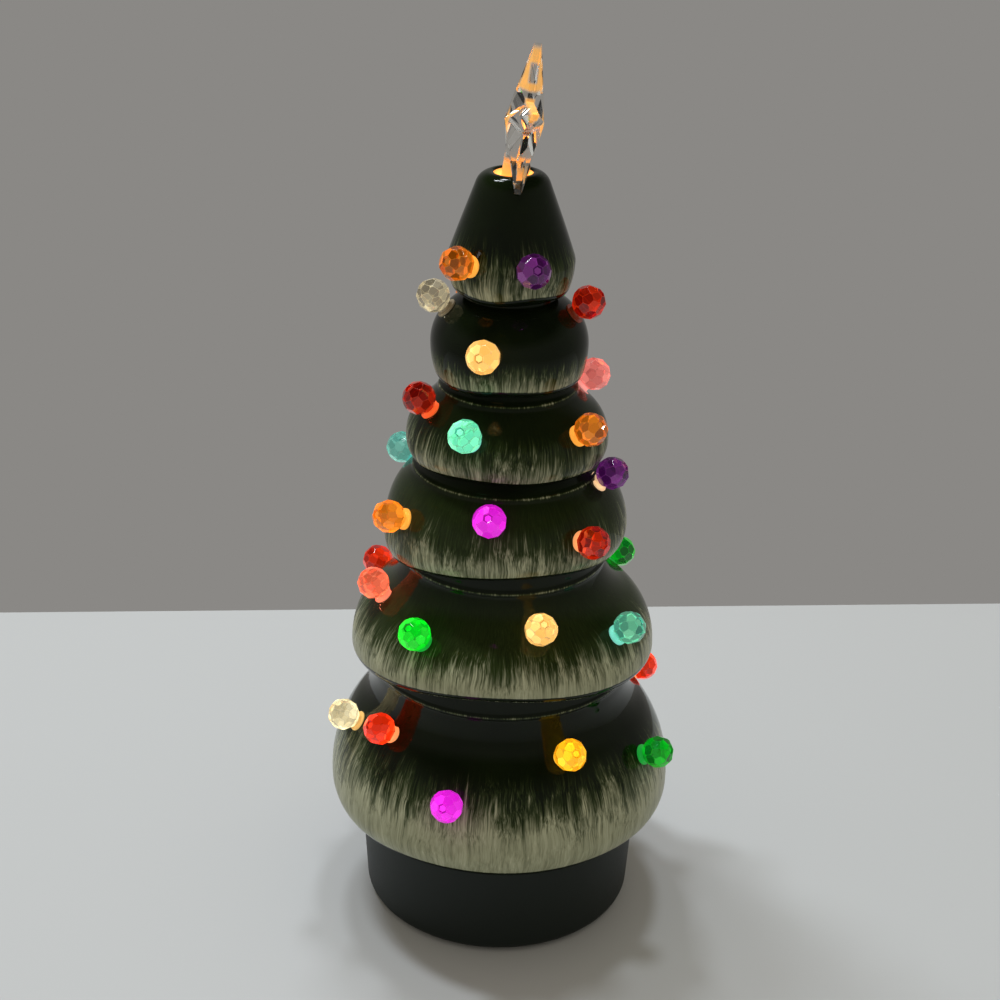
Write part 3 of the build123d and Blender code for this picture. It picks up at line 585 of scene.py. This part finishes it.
for name, (dark, pale, smooth, rough, metal, grain, relief) in finishes.items():
    m = newMaterial(name)
    place = addNode(m, "ShaderNodeTexCoord").outputs["Object"]
    speck = addNode(m, "ShaderNodeTexNoise", {
        "Vector": place, "Scale": 1000 / grain, "Detail": grained["detail"]}).outputs["Fac"]
    tone = addNode(m, "ShaderNodeMix", {0: speck, 6: linear(dark), 7: linear(pale)}, data_type="RGBA")
    matt = addNode(m, "ShaderNodeMapRange", {"Value": speck, "To Min": smooth, "To Max": rough})
    relieved = addNode(m, "ShaderNodeBump", {
        "Height": speck, "Strength": grained["bump"], "Distance": relief * mm})
    surface = addNode(m, "ShaderNodeBsdfPrincipled", {
        "Base Color": tone.outputs[2], "Roughness": matt.outputs[0], "Metallic": metal,
        "Specular IOR Level": grained["specular"], "Normal": relieved.outputs[0]})
    addNode(m, "ShaderNodeOutputMaterial", {"Surface": surface.outputs[0]})
    finished[name] = m

# Lit pieces: warm LEDs in clear epoxy under a moulded, frosted cover, both a little cloudy
lamped = {
    # colour and strength
    "lights": {"warmLedEpoxy": ("#ffe2a8", 4.0), "frostedPolypropylene": ("#ffd9a0", 1.4)},
    "body": "#efe9dc", "roughness": 0.5, "spread": (0.8, 1.2),
    "cloud": 12.0,  # mm
}
for name, (hexColour, strength) in lamped["lights"].items():
    m = newMaterial(name)
    place = addNode(m, "ShaderNodeTexCoord").outputs["Object"]
    cloud = addNode(m, "ShaderNodeTexNoise", {"Vector": place, "Scale": 1000 / lamped["cloud"]})
    least, most = [share * strength for share in lamped["spread"]]
    glow = addNode(m, "ShaderNodeMapRange", {"Value": cloud.outputs["Fac"], "To Min": least, "To Max": most})
    surface = addNode(m, "ShaderNodeBsdfPrincipled", {
        "Base Color": linear(lamped["body"]), "Roughness": lamped["roughness"],
        "Emission Color": linear(hexColour), "Emission Strength": glow.outputs[0]})
    addNode(m, "ShaderNodeOutputMaterial", {"Surface": surface.outputs[0]})
    finished[name] = m

# Cast acrylic, flame polished: clear, with faint ripples, and amber light from the socket caught in its
# arms and post. Foot in mm, lean and turn in degrees; the lit places are in mm from the star's middle, along
# the post, across the star's plane or through its thickness, each with its soft border
star = {
    "foot": (0, 0, 250.3), "lean": 8.5, "turn": 95.0, "rise": 19.6,
    "clear": "#fdfaf4", "amber": "#f3b25c", "glow": 0.5, "amberClear": 0.35, "ior": 1.49, "roughness": 0.02,
    "arm": ((9.6, 23.0), 0.6), "hollow": ((11.8, 17.4), 0.5), "hollowHalf": ((-1.3, 1.3), 0.4),
    "knot": ((4.4, 7.6), 0.4), "knotHalf": ((-1.4, 1.4), 0.4),
    "cheek": ((4.9, 9.0), 0.3), "side": ((-25.0, -0.4), 0.3),
    "post": ((-25.0, -12.5), 0.6), "postHalf": ((-4.4, 4.4), 0.3),
    "ripple": 6.0, "rippleRelief": 0.2,  # mm
    "rippleStrength": 0.2,
}
m = newMaterial("clearAcrylic")


def between(value, name):  # 1 between the ends of the named place, falling to 0 over its soft border
    (low, high), soft = star[name]
    half = (high - low) / 2
    off = addNode(m, "ShaderNodeMath", {0: value, 1: (low + high) / 2 * mm}, operation="SUBTRACT")
    away = addNode(m, "ShaderNodeMath", {0: off.outputs[0]}, operation="ABSOLUTE")
    return addNode(m, "ShaderNodeMapRange", {
        "Value": away.outputs[0], "From Min": (half + soft) * mm, "From Max": (half - soft) * mm},
        interpolation_type="SMOOTHSTEP").outputs[0]


place = addNode(m, "ShaderNodeTexCoord").outputs["Object"]
lean, turn = radians(star["lean"]), radians(star["turn"])
upAxis = Vector((sin(lean), 0, cos(lean)))
sideAxis = Vector((cos(lean), 0, -sin(lean)))
planeAxis = sideAxis * cos(turn) + Vector((0, sin(turn), 0))
faceAxis = sideAxis * sin(turn) - Vector((0, cos(turn), 0))
heart = (Vector(star["foot"]) + upAxis * star["rise"]) * mm
own = addNode(m, "ShaderNodeVectorMath", {0: place, 1: heart}, operation="SUBTRACT")
across, along, through = [
    addNode(m, "ShaderNodeVectorMath", {0: own.outputs[0], 1: axis}, operation="DOT_PRODUCT").outputs["Value"]
    for axis in (planeAxis, upAxis, faceAxis)]
depth = addNode(m, "ShaderNodeMath", {0: through}, operation="ABSOLUTE").outputs[0]
hollow = addNode(m, "ShaderNodeMath", {
    0: between(along, "hollow"), 1: between(depth, "hollowHalf")}, operation="MULTIPLY")
solid = addNode(m, "ShaderNodeMath", {0: 1.0, 1: hollow.outputs[0]}, operation="SUBTRACT")
arm = addNode(m, "ShaderNodeMath", {0: between(along, "arm"), 1: solid.outputs[0]}, operation="MULTIPLY")
knot = addNode(m, "ShaderNodeMath", {
    0: between(along, "knot"), 1: between(depth, "knotHalf")}, operation="MULTIPLY")
upper = addNode(m, "ShaderNodeMath", {0: arm.outputs[0], 1: knot.outputs[0]}, operation="MAXIMUM")
patches = addNode(m, "ShaderNodeMath", {0: upper.outputs[0], 1: between(depth, "cheek")}, operation="MAXIMUM")
nearSide = addNode(m, "ShaderNodeMath", {
    0: patches.outputs[0], 1: between(across, "side")}, operation="MULTIPLY")
post = addNode(m, "ShaderNodeMath", {
    0: between(along, "post"), 1: between(across, "postHalf")}, operation="MULTIPLY")
caught = addNode(m, "ShaderNodeMath", {
    0: nearSide.outputs[0], 1: post.outputs[0]}, operation="MAXIMUM").outputs[0]
shine = addNode(m, "ShaderNodeMath", {0: caught, 1: star["glow"]}, operation="MULTIPLY")
clear = addNode(m, "ShaderNodeMapRange", {"Value": caught, "To Min": 1.0, "To Max": star["amberClear"]})
tint = addNode(m, "ShaderNodeMix", {
    0: caught, 6: linear(star["clear"]), 7: linear(star["amber"])}, data_type="RGBA")
ripple = addNode(m, "ShaderNodeTexNoise", {"Vector": place, "Scale": 1000 / star["ripple"], "Detail": 1.0})
wave = addNode(m, "ShaderNodeBump", {
    "Height": ripple.outputs["Fac"], "Strength": star["rippleStrength"],
    "Distance": star["rippleRelief"] * mm})
surface = addNode(m, "ShaderNodeBsdfPrincipled", {
    "Base Color": tint.outputs[2], "Roughness": star["roughness"], "IOR": star["ior"],
    "Transmission Weight": clear.outputs[0], "Normal": wave.outputs[0],
    "Emission Color": linear(star["amber"]), "Emission Strength": shine.outputs[0]})
addNode(m, "ShaderNodeOutputMaterial", {"Surface": surface.outputs[0]})
finished["clearAcrylic"] = m

wears = {
    "clearAcrylic": ("star_topper",),
    "satinCharcoalAbs": ("base_housing", "base_plate", "battery_door"),
    "zincPlatedSteel": ("base_screws", "board_screws"),
    "mattRubber": ("foot_pads",),
    "paintedCellJacket": ("battery_cell_1", "battery_cell_2", "battery_cell_3"),
    "nickelSpring": ("positive_contacts", "negative_contacts"),
    "blackSwitchNylon": ("switch_body", "switch_knob"),
    "greenSolderResist": ("led_board",),
    "warmLedEpoxy": ("leds",),
    "frostedPolypropylene": ("light_cover",),
    "redPvcSleeve": ("wires_red",),
    "blackPvcSleeve": ("wire_black",),
}
for name, nodes in wears.items():
    for node in nodes:
        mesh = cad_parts[node].data
        mesh.materials.clear()
        mesh.materials.append(finished[name])
print("finishes set")

# Pale satin laminate table, grey wall behind it and a dim ceiling; sizes in m, skew in degrees
stage = {
    "table": "#c3c6c8", "satin": (0.38, 0.46), "cloud": 0.12,
    "near": -1.5, "edge": 0.197, "skew": 3.8, "half": 1.5,
    "wall": "#8a8885", "ceiling": "#242424", "wallTop": (0.34, 0.65), "fill": 0.45, "warmth": "#fff5e2",
}
m = newMaterial("paleLaminate")
place = addNode(m, "ShaderNodeTexCoord").outputs["Object"]
cloud = addNode(m, "ShaderNodeTexNoise", {"Vector": place, "Scale": 1 / stage["cloud"], "Detail": 2.0})
matt = addNode(m, "ShaderNodeMapRange", {
    "Value": cloud.outputs["Fac"], "To Min": stage["satin"][0], "To Max": stage["satin"][1]})
surface = addNode(m, "ShaderNodeBsdfPrincipled", {
    "Base Color": linear(stage["table"]), "Roughness": matt.outputs[0]})
addNode(m, "ShaderNodeOutputMaterial", {"Surface": surface.outputs[0]})
bm = bmesh.new()
bmesh.ops.create_grid(bm, x_segments=1, y_segments=1, size=1.0)
bmesh.ops.scale(bm, vec=(stage["half"], (stage["edge"] - stage["near"]) / 2, 1), verts=bm.verts)
bmesh.ops.translate(bm, vec=(0, (stage["edge"] + stage["near"]) / 2, 0), verts=bm.verts)
skew = Matrix.Rotation(radians(stage["skew"]), 3, "Z")
bmesh.ops.rotate(bm, cent=(0, stage["edge"], 0), matrix=skew, verts=bm.verts)
mesh = bpy.data.meshes.new("tableTop")
bm.to_mesh(mesh)
bm.free()
mesh.materials.append(m)
tableTop = bpy.data.objects.new("tableTop", mesh)
bpy.context.scene.collection.objects.link(tableTop)

world = bpy.data.worlds.new("greyRoom")
bpy.context.scene.world = world
world.use_nodes = True
world.node_tree.nodes.clear()
path = addNode(world, "ShaderNodeLightPath").outputs
mirrored = addNode(world, "ShaderNodeMath", {
    0: path["Is Camera Ray"], 1: path["Is Glossy Ray"]}, operation="MAXIMUM")
seen = addNode(world, "ShaderNodeMath", {
    0: mirrored.outputs[0], 1: path["Is Transmission Ray"]}, operation="MAXIMUM")
heading = addNode(world, "ShaderNodeTexCoord").outputs["Generated"]
upward = addNode(world, "ShaderNodeSeparateXYZ", {0: heading})
ceiling = addNode(world, "ShaderNodeMapRange", {
    "Value": upward.outputs["Z"], "From Min": stage["wallTop"][0], "From Max": stage["wallTop"][1]})
room = addNode(world, "ShaderNodeMix", {
    0: ceiling.outputs[0], 6: linear(stage["wall"]), 7: linear(stage["ceiling"])}, data_type="RGBA")
wall = addNode(world, "ShaderNodeBackground", {"Color": room.outputs[2], "Strength": 1.0})
fill = addNode(world, "ShaderNodeBackground", {"Color": linear(stage["warmth"]), "Strength": stage["fill"]})
sky = addNode(world, "ShaderNodeMixShader", {0: seen.outputs[0], 1: fill.outputs[0], 2: wall.outputs[0]})
addNode(world, "ShaderNodeOutputWorld", {"Surface": sky.outputs[0]})

# Small ceiling lamps behind to the left and overhead, in m and watts
lamps = {
    "size": 0.16, "power": 3.5, "colour": "#f3f9ff", "aim": (0, 0, 0.1),
    "spots": ((-0.5, 0.30, 1.25), (-0.2, 0.48, 1.30), (0.1, 0.30, 1.36), (-0.4, 0.24, 1.4)),
}
for number, spot in enumerate(lamps["spots"], start=1):
    lamp = bpy.data.lights.new("ceilingLamp%d" % number, "AREA")
    lamp.shape = "DISK"
    lamp.size = lamps["size"]
    lamp.energy = lamps["power"]
    lamp.color = linear(lamps["colour"])[:3]
    holder = bpy.data.objects.new(lamp.name, lamp)
    holder.location = spot
    holder.rotation_euler = (Vector(lamps["aim"]) - Vector(spot)).to_track_quat("-Z", "Y").to_euler()
    bpy.context.scene.collection.objects.link(holder)
print("stage and lamps set")

# Camera at the photograph's view: lens and sensor in mm, places in m, angles in degrees
view = {
    "lens": 64.8, "sensor": 36.0, "distance": 0.582, "aim": (-0.0018, 0.0, 0.1463), "down": 25.0, "roll": 1.3,
}
eye = bpy.data.cameras.new("photoView")
eye.sensor_width = view["sensor"]
eye.lens = view["lens"]
camera = bpy.data.objects.new("photoView", eye)
down = radians(view["down"])
spot = Vector(view["aim"]) + Vector((0, -cos(down), sin(down))) * view["distance"]
turnDown = Matrix.Rotation(radians(90 - view["down"]), 4, "X")
camera.matrix_world = Matrix.Translation(spot) @ turnDown @ Matrix.Rotation(radians(view["roll"]), 4, "Z")
bpy.context.scene.collection.objects.link(camera)
bpy.context.scene.camera = camera
bpy.context.scene.view_settings.view_transform = "Standard"

print("scene ready")
